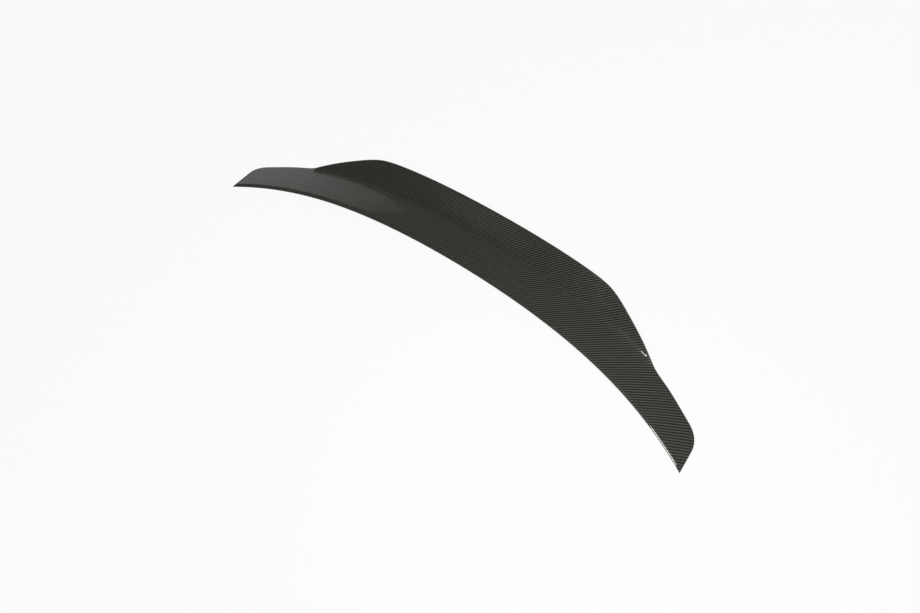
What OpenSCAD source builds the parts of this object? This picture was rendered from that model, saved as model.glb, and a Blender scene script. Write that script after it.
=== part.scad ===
// Rear spoiler for a boot lid, laid up as one thin shell of carbon-fibre laminate.
// X runs across the car, -Y faces forward and Z is up.
// A broad front flange lies on the lid, a kick rises behind it to a rounded lip, and
// a rear skin drops from the lip over the lid's rear edge. The inside is open below.

/* [Outline from above] */
// Width across the car, tip to tip
span = 1200; // [1000:10:1400]
// How far the tips reach ahead of the middle of the front edge
tip_sweep = 115.7; // [70:0.1:130]
// Share of that reach that gathers towards the tips
sweep_share = 0.44; // [0.2:0.01:0.6]
// Depth from front edge to lip on the centre line
mid_depth = 125.1; // [110:0.1:145]
// Forward curve of the lip between the shoulders, taken out to the tips
lip_bow = 26; // [0:0.5:50]
// Distance of each shoulder of the lip from the centre line
shoulder_x = 310; // [250:1:350]
// Forward slope of the rear edge outboard of the shoulders
shoulder_slope = 0.567; // [0.5:0.001:0.6]
// Rounding of the shoulders
shoulder_round = 15; // [4:1:30]
// Depth of the waist where the lip runs out into the rear edge of the flange
waist_depth = 4.3; // [0:0.1:8]
// Distance of the waist from the centre line
waist_x = 462; // [440:1:480]
// Half the length of the waist
waist_reach = 32; // [20:1:40]
// How far the rear corner of each end lies inboard of its tip
end_inset = 6.4; // [0:0.1:15]
// Length of the rounding on each side of that corner
corner_reach = 28.5; // [14:0.5:34]

/* [Flange] */
// Rise of the flange from the tips to the centre line
crown = 23; // [5:1:40]
// Width of the flange in front of the valley on the centre line
flange_w = 79; // [64:1:86]
// Extra width of the flange where the kick dies out
flange_gain = 5; // [0:1:10]
// Softness of the valley between flange and kick
valley_soft = 6; // [4:1:20]

/* [Kick and lip] */
// Rise of the kick above the flange on the centre line
kick_rise = 50.6; // [35:0.1:70]
// Loss of that rise over the distance from the centre line to a shoulder
kick_fall = 16.3; // [5:0.1:25]
// Distance from the centre line where the kick dies into the flange
kick_end = 465; // [430:1:480]
// Slope with which the kick runs down towards that place
kick_runout = 0.6; // [0.4:0.01:0.7]
// Softness of the bends at the top and the foot of that slope
kick_round = 11.5; // [4:0.5:20]
// Overhang of the lip past the foot of the rear skin on the centre line
lip_overhang = 24; // [8:1:34]
// Hollow of the rear skin on the centre line
rear_hollow = 4; // [0:0.5:6]
// Radius of the lip
lip_r = 2.5; // [2:0.1:3]

/* [Laminate and edges] */
// Thickness of the laminate
wall = 2.4; // [2:0.1:3]
// Depth of the recess under the flange for the bonding tape
tape_recess = 1.2; // [0.8:0.1:1.6]
// Height of the upright land round the edge
edge_land = 1.5; // [0.8:0.1:2]
// Width of the rolled edge
edge_roll = 10; // [6:1:14]
// Width of the foot of the edge, which touches the lid
edge_foot = 4; // [3:0.5:6]
// Width of the slope between that foot and the recess
recess_draft = 1; // [0.6:0.1:1.6]
// Inside radius under the lip
lip_inner_r = 1.2; // [0.6:0.1:1.6]

/* [Hidden] */

half = span / 2;
flange_h = wall + tape_recess;
corner_x = half - end_inset;
straight_x = corner_x - corner_reach;

// Power of the kick's fall, largest share of a row that is flange, and largest share of the
// height at the lip that its radius takes
fall_power = 2.5;
valley_limit = 0.86;
radius_share = 0.45;

// Rows from the centre line to an end, and points across each row
rows_side = 44;
rows_open = 4;
rows_solid = 4;
roll_steps = [for (k = [1:3]) 30 * k];
flange_steps = [0.45, 0.72, 0.86, 0.93, 0.98];
kick_steps = [0.05, 0.11, 0.2, 0.34, 0.54, 0.77];
lip_arc = 6;
hollow_steps = [0.33, 0.66];

// Lower or upper of two values, with a soft change between them
function soft_min(a, b, r) = (a + b - sqrt(pow(a - b, 2) + r * r)) / 2;
function soft_max(a, b, r) = (a + b + sqrt(pow(a - b, 2) + r * r)) / 2;

// Front edge, lip line and lid surface
function lead_y(x) = let (u = pow(x / half, 2))
    -tip_sweep * ((1 - sweep_share) * u + sweep_share * u * u);
function lip_mid_y(x) = mid_depth - lip_bow * pow(x / half, 2);
function lip_side_y(x) = lip_mid_y(shoulder_x) - shoulder_slope * (x - shoulder_x);
function waist(x) = waist_depth * exp(-pow((x - waist_x) / waist_reach, 2));
function lip_y(x) = soft_min(lip_mid_y(x), lip_side_y(x), shoulder_round) - waist(x);
function lid_z(x) = crown * (1 - pow(x / half, 2));

// Rise of the kick above the flange, measured at the lip
function rise_mid(x) = kick_rise - kick_fall * pow(x / shoulder_x, fall_power);
function rise_end(x) = kick_runout * (kick_end - x);
function rise(x) = soft_max(soft_min(rise_mid(x), rise_end(x), kick_round), 0, 1);

// Quarter-ellipse rise of the rolled edge, from 0 at the edge to 1 at its full width
function roll(d) = sqrt(1 - pow(1 - min(d / edge_roll, 1), 2));

// Rounded rear corner of an end, from the lip line to the end edge
tip = [half, -tip_sweep];
corner = [corner_x, lip_y(corner_x)];
corner_in = [straight_x, lip_y(straight_x)];
corner_out = corner + (tip - corner) * corner_reach / norm(tip - corner);
function corner_at(t) = pow(1 - t, 2) * corner_in + 2 * t * (1 - t) * corner + t * t * corner_out;

// A row crosses the shell from front to rear: its front point, its rear point and its
// distance from the end edge
function side_row(x) = [[x, lead_y(x)], [x, lip_y(x)], edge_roll];
function end_x(t) = half - (half - straight_x) * pow(1 - t, 2);
function end_row(t) = [[end_x(t), lead_y(end_x(t))], corner_at(t), corner_reach * pow(1 - t, 2)];
function end_share(distance) = 1 - sqrt(distance / corner_reach);
open_share = end_share(edge_foot);
solid_share = end_share(edge_foot - recess_draft);
half_rows = concat(
    [for (i = [0:rows_side]) side_row(straight_x * i / rows_side)],
    [for (i = [1:rows_open]) end_row(open_share * i / rows_open)],
    [for (i = [0:rows_solid - 1]) end_row(solid_share + (1 - solid_share) * i / (rows_solid - 1))]
);

// Sizes of one row: length, valley distance, slope of the kick and share of full rise
function row_length(row) = norm(row[1] - row[0]);
function valley_at(row) = min(
    flange_w + flange_gain * pow(row[0][0] / kick_end, 2),
    valley_limit * row_length(row)
);
function kick_slope(row) = let (run = row_length(row) - valley_at(row))
    rise(row[1][0]) / soft_max(run, 0, valley_soft);
function row_share(row) = rise(row[1][0]) / rise(0);
function row_x(row, d) = row[0][0] + (row[1][0] - row[0][0]) * d / row_length(row);

// Height of the bent skin above the flange's own surface, and its local slope
function bend(row, d) = kick_slope(row) * soft_max(d - valley_at(row), 0, valley_soft);
function bend_slope(row, d) = let (s = d - valley_at(row))
    kick_slope(row) * (1 + s / sqrt(s * s + pow(valley_soft, 2))) / 2;

// Upper and lower surface of the skin
function edge_h(row, d) = edge_land + (flange_h - edge_land) * roll(d) * roll(row[2]);
function top_z(row, d) = lid_z(row_x(row, d)) + edge_h(row, d) + bend(row, d);
function under_z(row, d) = let (m = bend_slope(row, d))
    lid_z(row_x(row, d)) + flange_h - wall * sqrt(1 + m * m) + bend(row, d);

// The lip: its radius, the place of its centre and the direction of the rear skin
function nose_r(row) = min(lip_r, radius_share * top_z(row, row_length(row)));
function nose_d(row) = row_length(row) - nose_r(row);
function nose_m(row) = bend_slope(row, nose_d(row));
function nose_z(row) = top_z(row, nose_d(row)) - nose_r(row) * sqrt(1 + pow(nose_m(row), 2));
function overhang(row) = lip_overhang * row_share(row);
function rear_lean(row) = -atan2(overhang(row), nose_z(row));
function nose_start(row) = 90 + atan(nose_m(row));
function arc_angle(row, k) = nose_start(row) + (rear_lean(row) - nose_start(row)) * k / lip_arc;
function foot_d(row) = row_length(row) - overhang(row);

// Centre of the inside radius, on the line that halves the angle between the two skins
function inner_r(row) = min(lip_inner_r, radius_share * under_z(row, row_length(row)));
function inner_shift(row) = (wall + inner_r(row) - nose_r(row))
    / sin((180 - nose_start(row) + rear_lean(row)) / 2);
function inner_d(row) = nose_d(row)
    - cos((nose_start(row) + rear_lean(row)) / 2) * inner_shift(row);
function inner_z(row) = nose_z(row)
    - sin((nose_start(row) + rear_lean(row)) / 2) * inner_shift(row);

// Points across a row as distance from the front edge and height
function flange_ds(row, from) = [for (f = flange_steps) from + (valley_at(row) - from) * f];
function kick_ds(row, to) = [for (f = kick_steps) valley_at(row) + (to - valley_at(row)) * f];
function arc(row, d, z, r) = [for (k = [0:lip_arc])
    [d + r * cos(arc_angle(row, k)), z + r * sin(arc_angle(row, k))]];
function rear_skin(row, p, q) = [for (f = hollow_steps)
    p + (q - p) * f - [4 * rear_hollow * row_share(row) * f * (1 - f), 0]];
function last(v) = v[len(v) - 1];

// Outside of a row, from the front edge over the lip to the foot of the rear skin
function outer_line(row) = let (
    lid = lid_z(row[0][0]),
    rolled = [for (a = roll_steps) edge_roll * (1 - cos(a))],
    skin = concat(rolled, flange_ds(row, edge_roll), kick_ds(row, nose_d(row) - nose_r(row))),
    nose = arc(row, nose_d(row), nose_z(row), nose_r(row)),
    foot = [foot_d(row), 0]
) concat(
    [[0, lid], [0, lid + edge_land]],
    [for (d = skin) [d, top_z(row, d)]],
    nose,
    rear_skin(row, last(nose), foot),
    [foot]
);

// Inside of a row, from the foot of the front edge to the foot of the rear skin
function inner_line(row) = let (
    start = edge_foot + recess_draft,
    skin = concat([start], flange_ds(row, start), kick_ds(row, inner_d(row) - inner_r(row))),
    nose = arc(row, inner_d(row), inner_z(row), inner_r(row)),
    foot = [foot_d(row) - wall / cos(rear_lean(row)), 0]
) concat(
    [[edge_foot, lid_z(row[0][0])]],
    [for (d = skin) [d, under_z(row, d)]],
    nose,
    rear_skin(row, last(nose), foot),
    [foot]
);

// Beyond the recess an end is solid. There the inside lies flat along the bottom, with its
// points spread as they are in the last open row.
function runs(line, i = 0, run = 0) = i == len(line) - 1 ? [run]
    : concat([run], runs(line, i + 1, run + norm(line[i + 1] - line[i])));
last_open_runs = runs(inner_line(end_row(open_share)));
function flattened(line) = [for (run = last_open_runs)
    line[0] + (last(line) - line[0]) * run / last(last_open_runs)];
function is_solid(row) = row[2] < edge_foot - recess_draft / 2;
function under_line(row) = is_solid(row) ? flattened(inner_line(row)) : inner_line(row);
function reversed(line) = [for (i = [len(line) - 1:-1:0]) line[i]];
function section(row) = concat(outer_line(row), reversed(under_line(row)));

// Places a row's section in space; side is 1 for one half of the part and -1 for the other
function placed(row, side) = let (along = (row[1] - row[0]) / row_length(row))
    [for (p = section(row)) [side * (row[0][0] + along[0] * p[0]), row[0][1] + along[1] * p[0], p[1]]];

// Triangles between two neighbouring sections of n points, split the mirrored way on one half
function strip(i, n, mirrored) = [
    for (j = [0:n - 1]) let (k = (j + 1) % n)
        each mirrored
            ? [[i + j, i + k, i + n + j], [i + k, i + n + k, i + n + j]]
            : [[i + j, i + n + k, i + n + j], [i + j, i + k, i + n + k]]
];

// End face of the shell, in triangles between its outside and its bottom
function cap(start, outer_n, n) = let (extra = 2 * outer_n - n, low = start + n - 1) concat(
    [for (j = [0:extra - 1]) [low, start + j, start + j + 1]],
    [for (k = [0:n - outer_n - 2]) [low - k, start + extra + k, low - k - 1]],
    [for (k = [0:n - outer_n - 2]) [low - k - 1, start + extra + k, start + extra + k + 1]]
);

// One moulded shell, lofted through its rows from one end to the other
module spoiler() {
    last_i = len(half_rows) - 1;
    sections = concat(
        [for (i = [last_i:-1:1]) placed(half_rows[i], -1)],
        [for (i = [0:last_i]) placed(half_rows[i], 1)]
    );
    n = len(sections[0]);
    outer_n = len(outer_line(half_rows[0]));
    end_start = n * (len(sections) - 1);
    middle_y = (lip_y(0) - tip_sweep) / 2;
    color("#34322e")
        translate([0, -middle_y, 0])
            polyhedron(
                points = [for (s = sections) each s],
                faces = concat(
                    [for (face = cap(0, outer_n, n)) reversed(face)],
                    [for (i = [0:n:end_start - n]) each strip(i, n, i < end_start / 2)],
                    cap(end_start, outer_n, n)
                ),
                convexity = 8
            );
}

spoiler();
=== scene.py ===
import math
import bpy
import numpy as np
from mathutils import Matrix


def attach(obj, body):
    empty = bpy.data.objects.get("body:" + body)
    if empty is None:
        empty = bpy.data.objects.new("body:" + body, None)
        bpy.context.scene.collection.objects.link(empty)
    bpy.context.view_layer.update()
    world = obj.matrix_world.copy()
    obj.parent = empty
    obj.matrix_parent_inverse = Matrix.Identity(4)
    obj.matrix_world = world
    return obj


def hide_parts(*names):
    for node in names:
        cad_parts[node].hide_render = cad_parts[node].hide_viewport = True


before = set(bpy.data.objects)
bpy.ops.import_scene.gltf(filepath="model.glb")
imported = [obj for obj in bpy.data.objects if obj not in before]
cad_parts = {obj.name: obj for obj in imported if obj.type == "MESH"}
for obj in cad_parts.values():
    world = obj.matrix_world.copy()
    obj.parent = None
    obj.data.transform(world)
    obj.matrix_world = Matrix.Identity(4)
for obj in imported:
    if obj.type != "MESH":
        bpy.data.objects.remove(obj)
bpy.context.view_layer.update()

# Sizes of the shell in millimetres, with its slopes and shares, the same as in the solid model
HALF = 600.0
TIP_SWEEP = 115.7
SWEEP_SHARE = 0.44
MID_DEPTH = 125.1
LIP_BOW = 26.0
SHOULDER_X = 310.0
SHOULDER_SLOPE = 0.567
SHOULDER_ROUND = 15.0
WAIST_DEPTH = 4.3
WAIST_X = 462.0
WAIST_REACH = 32.0
END_INSET = 6.4
CORNER_REACH = 28.5
CROWN = 23.0
FLANGE_W = 79.0
FLANGE_GAIN = 5.0
VALLEY_SOFT = 6.0
VALLEY_LIMIT = 0.86
KICK_RISE = 50.6
KICK_FALL = 16.3
FALL_POWER = 2.5
KICK_END = 465.0
KICK_RUNOUT = 0.6
KICK_ROUND = 11.5
LIP_OVERHANG = 24.0
REAR_HOLLOW = 4.0
LIP_R = 2.5
RADIUS_SHARE = 0.45
WALL = 2.4
TAPE_RECESS = 1.2
RECESS_DRAFT = 1.0
EDGE_LAND = 1.5
EDGE_ROLL = 10.0
EDGE_FOOT = 4.0
LIP_INNER_R = 1.2

FLANGE_H = WALL + TAPE_RECESS
CORNER_X = HALF - END_INSET
STRAIGHT_X = CORNER_X - CORNER_REACH
MM = 0.001

# How finely the visible shell is divided, and the share of a stretch where its last step lies
SIDE_ROWS = 110
OPEN_ROWS = 12
SOLID_ROWS = 12
ROLL_STEPS = 14
FLANGE_STEPS = 32
KICK_STEPS = 32
LIP_STEPS = 14
REAR_STEPS = 10
INNER_STEPS = 14
INNER_ARC_STEPS = 6
OUTER_LAST = 0.97
INNER_LAST = 0.95
SHARP_ANGLE = math.radians(38)

# The cloth: width of a tow across the car and from front to rear, and its relief, in
# millimetres; how far the cloth lies straight instead of following the front edge; and how
# many tows the twill takes to repeat
TOW_ACROSS = 1.675
TOW_ALONG = 1.525
TOW_RELIEF = 0.08
CLOTH_STRAIGHT = 0.25
TWILL_REPEAT = 4.0

# Filament lines in one tow width, across the tow and along it, and their share in the relief
LINES_ACROSS = 14.0
LINES_ALONG = 0.35
LINE_RELIEF = 0.25

# Colours of the tows that run from front to rear (light: painted sheen) and of those that run across
# (dark), and what they are multiplied by at a tow's edges (painted shade) and on its top (painted
# highlight)
GLOSS_SHEEN_TOW = (0.106, 0.102, 0.083, 1.0)
GLOSS_DARK = (0.005, 0.0048, 0.004, 1.0)
BARE_SHEEN_TOW = (0.055, 0.054, 0.050, 1.0)
BARE_DARK = (0.014, 0.0135, 0.013, 1.0)
TOW_EDGE_PAINTED_SHADE = 0.55
TOW_TOP_PAINTED_HIGHLIGHT = 1.3

# The floor in metres: half its side, its grey, and how far the camera and gloss see it white
FLOOR_HALF = 12.0
FLOOR_GREY = 0.86
FLOOR_WHITE = 0.92

# Brightness of the studio towards the front and the rear, and of the cove low down
ROOM_FRONT = 0.04
ROOM_REAR = 0.20
COVE = 0.85

# Camera: its place in metres, its direction in degrees and its lens
CAMERA_AT = (0.78601, -0.63141, 1.40836)
CAMERA_AZIMUTH = 52.316
CAMERA_ELEVATION = 57.016
CAMERA_ROLL = -15.396
CAMERA_LENS = 32.228
SENSOR_WIDTH = 36.0


def soft_min(a, b, r):
    """Smaller of two values, with the corner between them rounded."""
    return (a + b - np.sqrt((a - b) ** 2 + r * r)) / 2


def soft_max(a, b, r):
    """Larger of two values, with the corner between them rounded."""
    return (a + b + np.sqrt((a - b) ** 2 + r * r)) / 2


def lead_y(x):
    """Front edge, as distance ahead of its middle."""
    u = (x / HALF) ** 2
    return -TIP_SWEEP * ((1 - SWEEP_SHARE) * u + SWEEP_SHARE * u * u)


def lip_mid_y(x):
    return MID_DEPTH - LIP_BOW * (x / HALF) ** 2


def lip_y(x):
    side_y = lip_mid_y(SHOULDER_X) - SHOULDER_SLOPE * (x - SHOULDER_X)
    waist = WAIST_DEPTH * np.exp(-((x - WAIST_X) / WAIST_REACH) ** 2)
    return soft_min(lip_mid_y(x), side_y, SHOULDER_ROUND) - waist


def lid_z(x):
    return CROWN * (1 - (x / HALF) ** 2)


def rise(x):
    """Rise of the kick above the flange, measured at the lip."""
    middle = KICK_RISE - KICK_FALL * np.abs(x / SHOULDER_X) ** FALL_POWER
    runout = KICK_RUNOUT * (KICK_END - x)
    return soft_max(soft_min(middle, runout, KICK_ROUND), 0.0, 1.0)


def roll(d):
    return np.sqrt(1 - (1 - np.minimum(d / EDGE_ROLL, 1)) ** 2)


def end_share(distance):
    return 1 - math.sqrt(distance / CORNER_REACH)


class Rows:
    """Rows across the shell from the centre line to the right tip, each from front to rear."""

    def __init__(self):
        side_x = STRAIGHT_X * np.arange(SIDE_ROWS + 1) / SIDE_ROWS
        open_t = end_share(EDGE_FOOT) * np.arange(1, OPEN_ROWS + 1) / OPEN_ROWS
        solid_t = np.linspace(end_share(EDGE_FOOT - RECESS_DRAFT), 1, SOLID_ROWS)
        t = np.concatenate([open_t, solid_t])[:, None]
        tip = np.array([HALF, -TIP_SWEEP])
        corner = np.array([CORNER_X, lip_y(CORNER_X)])
        corner_in = np.array([STRAIGHT_X, lip_y(STRAIGHT_X)])
        corner_out = corner + (tip - corner) * CORNER_REACH / np.linalg.norm(tip - corner)
        end_front_x = HALF - (HALF - STRAIGHT_X) * (1 - t[:, 0]) ** 2
        end_front = np.stack([end_front_x, lead_y(end_front_x)], axis=1)
        end_rear = (1 - t) ** 2 * corner_in + 2 * t * (1 - t) * corner + t ** 2 * corner_out
        side_front = np.stack([side_x, lead_y(side_x)], axis=1)
        side_rear = np.stack([side_x, lip_y(side_x)], axis=1)
        side_distance = np.full(len(side_x), EDGE_ROLL)
        self.front = np.concatenate([side_front, end_front])
        self.rear = np.concatenate([side_rear, end_rear])
        self.end_distance = np.concatenate([side_distance, CORNER_REACH * (1 - t[:, 0]) ** 2])[:, None]
        across = self.rear - self.front
        self.length = np.linalg.norm(across, axis=1)[:, None]
        self.along = across / self.length
        self.lid = lid_z(self.front[:, :1])
        self.is_solid = self.end_distance[:, 0] < EDGE_FOOT - RECESS_DRAFT / 2
        valley = FLANGE_W + FLANGE_GAIN * (self.front[:, :1] / KICK_END) ** 2
        self.valley = np.minimum(valley, VALLEY_LIMIT * self.length)
        self.rise = rise(self.rear[:, :1])
        self.slope = self.rise / soft_max(self.length - self.valley, 0.0, VALLEY_SOFT)
        self.share = self.rise / rise(0.0)

    def lid_at(self, d):
        return lid_z(self.front[:, :1] + self.along[:, :1] * d)

    def bend(self, d):
        return self.slope * soft_max(d - self.valley, 0.0, VALLEY_SOFT)

    def bend_slope(self, d):
        s = d - self.valley
        return self.slope * (1 + s / np.sqrt(s * s + VALLEY_SOFT ** 2)) / 2

    def top_z(self, d):
        edge = EDGE_LAND + (FLANGE_H - EDGE_LAND) * roll(d) * roll(self.end_distance)
        return self.lid_at(d) + edge + self.bend(d)

    def under_z(self, d):
        m = self.bend_slope(d)
        return self.lid_at(d) + FLANGE_H - WALL * np.sqrt(1 + m * m) + self.bend(d)


def line_points(d, z):
    """Joins distances and heights of all rows into one array of points."""
    d, z = np.broadcast_arrays(d, z)
    return np.stack([d, z], axis=2)


def shares(first, last, steps):
    return np.linspace(first, last, steps)[None, :]


def lip(rows):
    """Centre and radius of the lip and the angles where its round starts and ends."""
    r = np.minimum(LIP_R, RADIUS_SHARE * rows.top_z(rows.length))
    d = rows.length - r
    m = rows.bend_slope(d)
    z = rows.top_z(d) - r * np.sqrt(1 + m * m)
    start = math.pi / 2 + np.arctan(m)
    lean = -np.arctan2(LIP_OVERHANG * rows.share, z)
    return d, z, r, start, lean


def lip_inside(rows):
    """Centre and radius of the inside round under the lip."""
    d, z, r, start, lean = lip(rows)
    inner_r = np.minimum(LIP_INNER_R, RADIUS_SHARE * rows.under_z(rows.length))
    shift = (WALL + inner_r - r) / np.sin((math.pi - start + lean) / 2)
    middle = (start + lean) / 2
    return d - np.cos(middle) * shift, z - np.sin(middle) * shift, inner_r, start, lean


def arc(centre_d, centre_z, r, start, lean, steps):
    angle = start + (lean - start) * shares(0, 1, steps + 1)
    return line_points(centre_d + r * np.cos(angle), centre_z + r * np.sin(angle))


def rear_skin(rows, top, foot_d, steps):
    """Hollow rear skin between the end of the lip's round and the foot."""
    foot = line_points(foot_d, np.zeros_like(foot_d))
    f = np.linspace(0, 1, steps + 2)[1:][None, :, None]
    skin = top + (foot - top) * f
    hollow = 4 * REAR_HOLLOW * rows.share * f[:, :, 0] * (1 - f[:, :, 0])
    skin[:, :, 0] -= hollow
    return skin


def outer_line(rows):
    """Outside of every row, from the front edge over the lip to the foot of the rear skin."""
    d, z, r, start, lean = lip(rows)
    land = np.array([[0.0, EDGE_LAND]]) + rows.lid
    angles = shares(0, math.pi / 2, ROLL_STEPS + 1)[:, 1:]
    rolled = np.repeat(EDGE_ROLL * (1 - np.cos(angles)), len(rows.lid), axis=0)
    flange = EDGE_ROLL + (rows.valley - EDGE_ROLL) * shares(0, OUTER_LAST, FLANGE_STEPS)[:, 1:]
    kick = rows.valley + (d - r - rows.valley) * shares(0, OUTER_LAST, KICK_STEPS)
    skin = np.concatenate([rolled, flange, kick], axis=1)
    nose = arc(d, z, r, start, lean, LIP_STEPS)
    foot_d = rows.length - LIP_OVERHANG * rows.share
    return np.concatenate([
        line_points(np.zeros((1, 2)), land),
        line_points(skin, rows.top_z(skin)),
        nose,
        rear_skin(rows, nose[:, -1:], foot_d, REAR_STEPS),
    ], axis=1)


def inner_line(rows):
    """Inside of every row, from the foot of the front edge to the foot of the rear skin."""
    d, z, r, start, lean = lip_inside(rows)
    first = EDGE_FOOT + RECESS_DRAFT
    flange = first + (rows.valley - first) * shares(0, INNER_LAST, INNER_STEPS)
    kick = rows.valley + (d - r - rows.valley) * shares(0, INNER_LAST, INNER_STEPS)
    skin = np.concatenate([flange, kick], axis=1)
    nose = arc(d, z, r, start, lean, INNER_ARC_STEPS)
    foot_d = rows.length - LIP_OVERHANG * rows.share - WALL / np.cos(lean)
    line = np.concatenate([
        line_points(np.full((1, 1), EDGE_FOOT), rows.lid),
        line_points(skin, rows.under_z(skin)),
        nose,
        rear_skin(rows, nose[:, -1:], foot_d, REAR_STEPS),
    ], axis=1)
    line[rows.is_solid] = flattened(line, rows)[rows.is_solid]
    return line


def running_length(line):
    step = np.linalg.norm(np.diff(line, axis=1), axis=2)
    start = np.zeros((len(line), 1))
    return np.concatenate([start, np.cumsum(step, axis=1)], axis=1)


def flattened(line, rows):
    """Beyond the recess: points flat along the bottom, spread as in the last open row."""
    last_open = line[~rows.is_solid][-1:]
    run = running_length(last_open)
    share = (run / run[:, -1:])[:, :, None]
    return line[:, :1] + (line[:, -1:] - line[:, :1]) * share


def placed(rows, line):
    """Points of all rows in space, in millimetres."""
    d = line[:, :, 0]
    x = rows.front[:, :1] + rows.along[:, :1] * d
    y = rows.front[:, 1:] + rows.along[:, 1:] * d
    return np.stack([x, y, line[:, :, 1]], axis=2)


def cloth_uv(rows, line, points, start):
    """Place on the flat cloth: across the car, and back from the front edge along the skin."""
    run = start + running_length(line)
    x = points[:, :, 0]
    shear = lead_y(rows.front[:, :1]) - (1 - CLOTH_STRAIGHT) * lead_y(x)
    return np.stack([x, run * rows.along[:, 1:] + shear], axis=2)


def shell_grid():
    """Points and cloth coordinates of the whole shell, one section per row, left to right."""
    rows = Rows()
    outer = outer_line(rows)
    inner = inner_line(rows)
    outer_points = placed(rows, outer)
    inner_points = placed(rows, inner)
    outer_uv = cloth_uv(rows, outer, outer_points, 0.0)
    inner_uv = cloth_uv(rows, inner, inner_points, EDGE_FOOT)
    points = np.concatenate([outer_points, inner_points[:, ::-1]], axis=1)
    cloth = np.concatenate([outer_uv, inner_uv[:, ::-1]], axis=1)
    middle_y = (lip_y(0.0) - TIP_SWEEP) / 2
    points[:, :, 1] -= middle_y
    mirrored_points = points[:0:-1] * np.array([-1, 1, 1])
    mirrored_cloth = cloth[:0:-1] * np.array([-1, 1])
    points = np.concatenate([mirrored_points, points])
    cloth = np.concatenate([mirrored_cloth, cloth])
    return points, cloth, outer.shape[1]


def cap_faces(start, outer_n, n):
    """End face of the shell, in triangles between its outside and its bottom."""
    extra = 2 * outer_n - n
    low = start + n - 1
    faces = [(low, start + j + 1, start + j) for j in range(extra)]
    for k in range(n - outer_n - 1):
        faces.append((low - k, low - k - 1, start + extra + k))
        faces.append((low - k - 1, start + extra + k + 1, start + extra + k))
    return faces


def shell_faces(rows_n, n, outer_n):
    """Faces of the closed shell, and for each face 1 on the inside or 0 on the outside."""
    faces = []
    inside = []
    for i in range(rows_n - 1):
        for j in range(n):
            k = (j + 1) % n
            faces.append((i * n + j, (i + 1) * n + j, (i + 1) * n + k, i * n + k))
            inside.append(1 if j >= outer_n - 1 else 0)
    end_cap = cap_faces((rows_n - 1) * n, outer_n, n)
    start_cap = [face[::-1] for face in cap_faces(0, outer_n, n)]
    faces += end_cap + start_cap
    inside += [0] * (2 * len(end_cap))
    return faces, inside


def build_shell(gloss, bare):
    points, cloth, outer_n = shell_grid()
    rows_n, n = points.shape[:2]
    faces, inside = shell_faces(rows_n, n, outer_n)
    mesh = bpy.data.meshes.new("spoiler_shell")
    mesh.from_pydata((points.reshape(-1, 3) * MM).tolist(), [], faces)
    loop_vertex = np.zeros(len(mesh.loops), dtype=np.int32)
    mesh.loops.foreach_get("vertex_index", loop_vertex)
    layer = mesh.uv_layers.new(name="cloth")
    layer.data.foreach_set("uv", (cloth.reshape(-1, 2)[loop_vertex] * MM).ravel())
    mesh.materials.append(gloss)
    mesh.materials.append(bare)
    mesh.polygons.foreach_set("material_index", inside)
    mesh.polygons.foreach_set("use_smooth", [True] * len(faces))
    mesh.set_sharp_from_angle(angle=SHARP_ANGLE)
    mesh.update()
    shell = bpy.data.objects.new("spoiler_shell", mesh)
    bpy.context.collection.objects.link(shell)
    return shell


class Nodes:
    """Short names for the shader nodes of one material, lamp or world."""

    def __init__(self, owner):
        owner.use_nodes = True
        self.tree = owner.node_tree
        self.tree.nodes.clear()

    def add(self, kind, **settings):
        node = self.tree.nodes.new(kind)
        for name, value in settings.items():
            setattr(node, name, value)
        return node

    def put(self, socket, value):
        if isinstance(value, bpy.types.NodeSocket):
            self.tree.links.new(value, socket)
        else:
            socket.default_value = value

    def math(self, operation, *values):
        node = self.add("ShaderNodeMath", operation=operation)
        for socket, value in zip(node.inputs, values):
            self.put(socket, value)
        return node.outputs[0]

    def ramp(self, value, start, end, low, high):
        """Smooth change from low to high as value goes from start to end."""
        node = self.add("ShaderNodeMapRange", interpolation_type="SMOOTHSTEP")
        for socket, number in zip(node.inputs, (value, start, end, low, high)):
            self.put(socket, number)
        return node.outputs[0]

    def mix(self, factor, a, b):
        node = self.add("ShaderNodeMix", data_type="FLOAT")
        self.put(node.inputs[0], factor)
        self.put(node.inputs[2], a)
        self.put(node.inputs[3], b)
        return node.outputs[0]

    def mix_colour(self, factor, a, b):
        node = self.add("ShaderNodeMix", data_type="RGBA")
        self.put(node.inputs[0], factor)
        self.put(node.inputs[6], a)
        self.put(node.inputs[7], b)
        return node.outputs[2]


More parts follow.
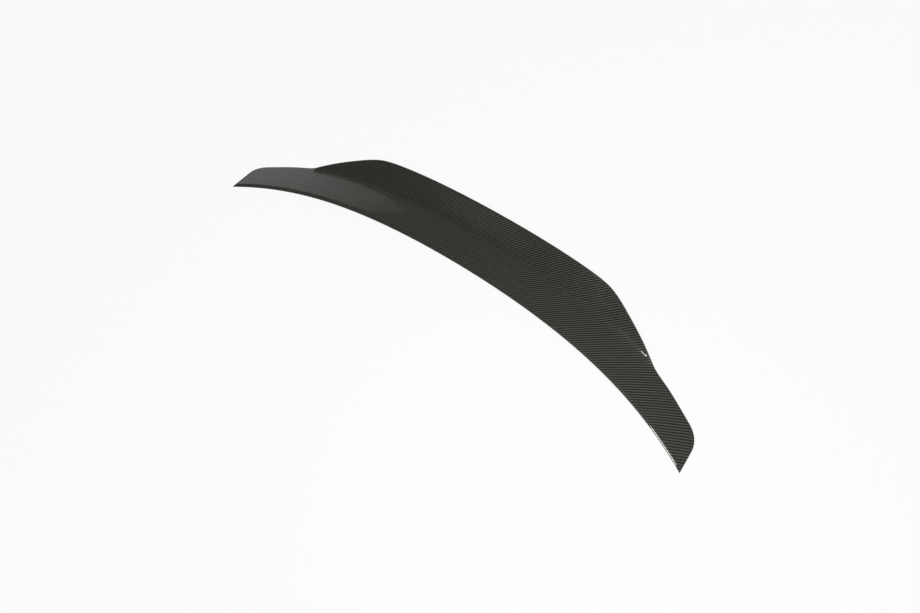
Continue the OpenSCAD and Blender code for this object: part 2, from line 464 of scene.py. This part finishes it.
def twill(nodes):
    """Two-by-two twill from the cloth coordinates.

    Gives which tow is on top (1 for a tow that runs from front to rear), its rounded height,
    and the place on the cloth in tow widths: u across the car, v from front to rear."""
    place = nodes.add("ShaderNodeUVMap", uv_map="cloth")
    split = nodes.add("ShaderNodeSeparateXYZ")
    nodes.put(split.inputs[0], place.outputs[0])
    u = nodes.math("DIVIDE", split.outputs[0], TOW_ACROSS * MM)
    v = nodes.math("DIVIDE", split.outputs[1], TOW_ALONG * MM)
    column = nodes.math("FLOOR", u)
    line = nodes.math("FLOOR", v)
    step = nodes.math("FLOORED_MODULO", nodes.math("SUBTRACT", column, line), TWILL_REPEAT)
    on_top = nodes.math("LESS_THAN", step, TWILL_REPEAT / 2 - 0.5)
    part_u = nodes.math("SUBTRACT", u, column)
    part_v = nodes.math("SUBTRACT", v, line)
    across = nodes.mix(on_top, part_v, part_u)
    from_middle = nodes.math("MULTIPLY_ADD", across, 2.0, -1.0)
    crown = nodes.math("SUBTRACT", 1.0, nodes.math("POWER", nodes.math("ABSOLUTE", from_middle), 2.0))
    lengthwise = nodes.math("SUBTRACT", column, v)
    crosswise = nodes.math("SUBTRACT", nodes.math("SUBTRACT", u, line), 3.0)
    float_place = nodes.mix(on_top, crosswise, lengthwise)
    wrapped = nodes.math("WRAP", float_place, 2.0, -2.0)
    dome = nodes.math("SUBTRACT", 1.0, nodes.math("POWER", nodes.math("ABSOLUTE", wrapped), 2.0))
    height = nodes.math("MULTIPLY", crown, nodes.math("MAXIMUM", dome, 0.0))
    return on_top, height, u, v


def fibre_lines(nodes, on_top, u, v):
    """Fine lines along the filaments of the top tow."""
    along_x = nodes.mix(on_top, LINES_ALONG, LINES_ACROSS)
    along_y = nodes.mix(on_top, LINES_ACROSS, LINES_ALONG)
    place = nodes.add("ShaderNodeCombineXYZ")
    nodes.put(place.inputs[0], nodes.math("MULTIPLY", u, along_x))
    nodes.put(place.inputs[1], nodes.math("MULTIPLY", v, along_y))
    noise = nodes.add("ShaderNodeTexNoise", noise_dimensions="2D")
    nodes.put(noise.inputs["Vector"], place.outputs[0])
    noise.inputs["Scale"].default_value = 1.0
    noise.inputs["Detail"].default_value = 1.0
    return noise.outputs[0]


def laminate(name, light, dark, coat, roughness):
    """Carbon cloth in resin, with a clear coat of the given weight."""
    material = bpy.data.materials.new(name)
    nodes = Nodes(material)
    on_top, height, u, v = twill(nodes)
    fibres = fibre_lines(nodes, on_top, u, v)
    # Tows that run from front to rear get the light colour, a painted sheen in place of how their
    # fibres reflect light; the dark colour is near the fibres' own black
    tow_colour_with_sheen = nodes.mix_colour(on_top, dark, light)
    # Painted shade at the tow edges and painted highlight on the tow crowns and filament lines: the
    # colour is darkened where the rounded tows fall away and lightened on their tops
    painted_tow_shading = nodes.mix(nodes.math("MULTIPLY", height, fibres), TOW_EDGE_PAINTED_SHADE, TOW_TOP_PAINTED_HIGHLIGHT)
    scale = nodes.add("ShaderNodeVectorMath", operation="SCALE")
    nodes.put(scale.inputs[0], tow_colour_with_sheen)
    nodes.put(scale.inputs["Scale"], painted_tow_shading)
    bump = nodes.add("ShaderNodeBump")
    bump.inputs["Strength"].default_value = 0.35
    bump.inputs["Distance"].default_value = TOW_RELIEF * MM
    nodes.put(bump.inputs["Height"], nodes.math("MULTIPLY_ADD", fibres, LINE_RELIEF, height))
    shader = nodes.add("ShaderNodeBsdfPrincipled")
    nodes.put(shader.inputs["Base Color"], scale.outputs[0])
    nodes.put(shader.inputs["Normal"], bump.outputs[0])
    shader.inputs["Roughness"].default_value = roughness
    shader.inputs["Specular IOR Level"].default_value = 0.25
    shader.inputs["Coat Weight"].default_value = coat
    shader.inputs["Coat Roughness"].default_value = 0.03
    output = nodes.add("ShaderNodeOutputMaterial")
    nodes.put(output.inputs[0], shader.outputs[0])
    return material


def floor_material():
    """Pale matt floor that the camera and gloss see nearly white, with the shadow kept."""
    material = bpy.data.materials.new("floor_pale")
    nodes = Nodes(material)
    matt = nodes.add("ShaderNodeBsdfDiffuse")
    matt.inputs[0].default_value = (FLOOR_GREY, FLOOR_GREY, FLOOR_GREY, 1.0)
    white = nodes.add("ShaderNodeEmission")
    path = nodes.add("ShaderNodeLightPath")
    seen = nodes.math("MAXIMUM", path.outputs["Is Camera Ray"], path.outputs["Is Glossy Ray"])
    seen = nodes.math("MAXIMUM", seen, path.outputs["Is Transmission Ray"])
    blend = nodes.add("ShaderNodeMixShader")
    nodes.put(blend.inputs[0], nodes.math("MULTIPLY", seen, FLOOR_WHITE))
    nodes.put(blend.inputs[1], matt.outputs[0])
    nodes.put(blend.inputs[2], white.outputs[0])
    output = nodes.add("ShaderNodeOutputMaterial")
    nodes.put(output.inputs[0], blend.outputs[0])
    return material


def add_floor():
    half = FLOOR_HALF
    corners = [(-half, -half, 0), (half, -half, 0), (half, half, 0), (-half, half, 0)]
    mesh = bpy.data.meshes.new("floor")
    mesh.from_pydata(corners, [], [(0, 1, 2, 3)])
    mesh.materials.append(floor_material())
    floor = bpy.data.objects.new("floor", mesh)
    bpy.context.collection.objects.link(floor)


def looking(azimuth, elevation, turn):
    """Rotation of a camera or lamp that looks back along the given direction, in degrees."""
    return (
        Matrix.Rotation(math.radians(azimuth), 4, "Z")
        @ Matrix.Rotation(math.radians(90 - elevation), 4, "X")
        @ Matrix.Rotation(math.radians(turn), 4, "Z")
    )


def add_camera():
    data = bpy.data.cameras.new("camera")
    data.sensor_fit = "HORIZONTAL"
    data.sensor_width = SENSOR_WIDTH
    data.lens = CAMERA_LENS
    camera = bpy.data.objects.new("camera", data)
    turned = looking(CAMERA_AZIMUTH, CAMERA_ELEVATION, CAMERA_ROLL)
    camera.matrix_world = Matrix.Translation(CAMERA_AT) @ turned
    bpy.context.collection.objects.link(camera)
    bpy.context.scene.camera = camera


def add_softbox(name, place, width, height, brightness, fade=(1.0, 0.0, 0.0), reach=90.0):
    """Rectangular lamp that shines along its own -Z; brightness 1 looks white.

    Fade is the share of that brightness at the lower left corner, and what is added to it
    towards the right side and towards the upper edge; the share is kept to 1 at most. A grid in
    front of the lamp holds its light within reach degrees of its axis."""
    data = bpy.data.lights.new(name, "AREA")
    data.shape = "RECTANGLE"
    data.size = width
    data.size_y = height
    half = math.radians(reach)
    data.spread = 2 * half
    data.energy = brightness * math.pi * width * height * (1 - half / math.tan(half))
    nodes = Nodes(data)
    face = nodes.add("ShaderNodeNewGeometry")
    split = nodes.add("ShaderNodeSeparateXYZ")
    nodes.put(split.inputs[0], face.outputs["Parametric"])
    corner, to_right, to_top = fade
    share = nodes.math("MULTIPLY_ADD", split.outputs[0], to_right, corner)
    share = nodes.math("MULTIPLY_ADD", split.outputs[1], to_top, share)
    glow = nodes.add("ShaderNodeEmission")
    nodes.put(glow.inputs["Strength"], nodes.math("MINIMUM", share, 1.0))
    output = nodes.add("ShaderNodeOutputLight")
    nodes.put(output.inputs[0], glow.outputs[0])
    lamp = bpy.data.objects.new(name, data)
    lamp.matrix_world = place
    lamp.visible_camera = False
    bpy.context.collection.objects.link(lamp)


def add_lamps():
    """Key at the right front, long softbox at the left and fill at the rear, then small lamps
    for the streak, the glow and the line of light at the right end of the part."""
    left = looking(-112, 35, -41) @ Matrix.Translation((0.1, 0, 2.0))
    key = looking(60, 54, 0) @ Matrix.Translation((0, 0, 3.0))
    fill = looking(150, 40, 0) @ Matrix.Translation((0, 0, 2.0))
    streak = Matrix.Translation((0.087, -0.326, 0.515)) @ looking(-43, 45, 0)
    glow = Matrix.Translation((0.121, -0.334, 0.542)) @ looking(-36.5, 48, 0)
    edge = Matrix.Translation((0.355, -0.26, 0.6)) @ looking(0, 90, -29)
    left_fade = (0.68, 0.67, -0.61)
    add_softbox("left_softbox", left, width=1.1, height=0.28, brightness=1.25, fade=left_fade)
    add_softbox("right_key", key, width=1.35, height=1.05, brightness=10.3)
    add_softbox("rear_fill", fill, width=1.2, height=0.9, brightness=0.6)
    add_softbox("streak_lamp", streak, width=0.09, height=0.10, brightness=30.0, reach=3.8)
    add_softbox("glow_lamp", glow, width=0.065, height=0.15, brightness=0.7, reach=5.0)
    add_softbox("edge_lamp", edge, width=0.08, height=0.17, brightness=28.0)


def add_world():
    """Studio seen from the part: a pale cove low down, dark in front and dim grey behind."""
    world = bpy.data.worlds.new("studio")
    nodes = Nodes(world)
    place = nodes.add("ShaderNodeTexCoord")
    split = nodes.add("ShaderNodeSeparateXYZ")
    nodes.put(split.inputs[0], place.outputs["Generated"])
    room = nodes.ramp(split.outputs[1], start=-0.5, end=0.3, low=ROOM_FRONT, high=ROOM_REAR)
    cove = nodes.ramp(split.outputs[2], start=0.22, end=0.42, low=1.0, high=0.0)
    background = nodes.add("ShaderNodeBackground")
    nodes.put(background.inputs["Strength"], nodes.mix(cove, room, COVE))
    output = nodes.add("ShaderNodeOutputWorld")
    nodes.put(output.inputs[0], background.outputs[0])
    bpy.context.scene.world = world


gloss = laminate("carbon_gloss", GLOSS_SHEEN_TOW, GLOSS_DARK, coat=1.0, roughness=0.45)
bare = laminate("carbon_inside", BARE_SHEEN_TOW, BARE_DARK, coat=0.0, roughness=0.6)
shell = build_shell(gloss, bare)
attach(shell, "root")
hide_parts("spoiler")

add_floor()
add_camera()
add_world()
add_lamps()
bpy.context.scene.view_settings.view_transform = "Standard"
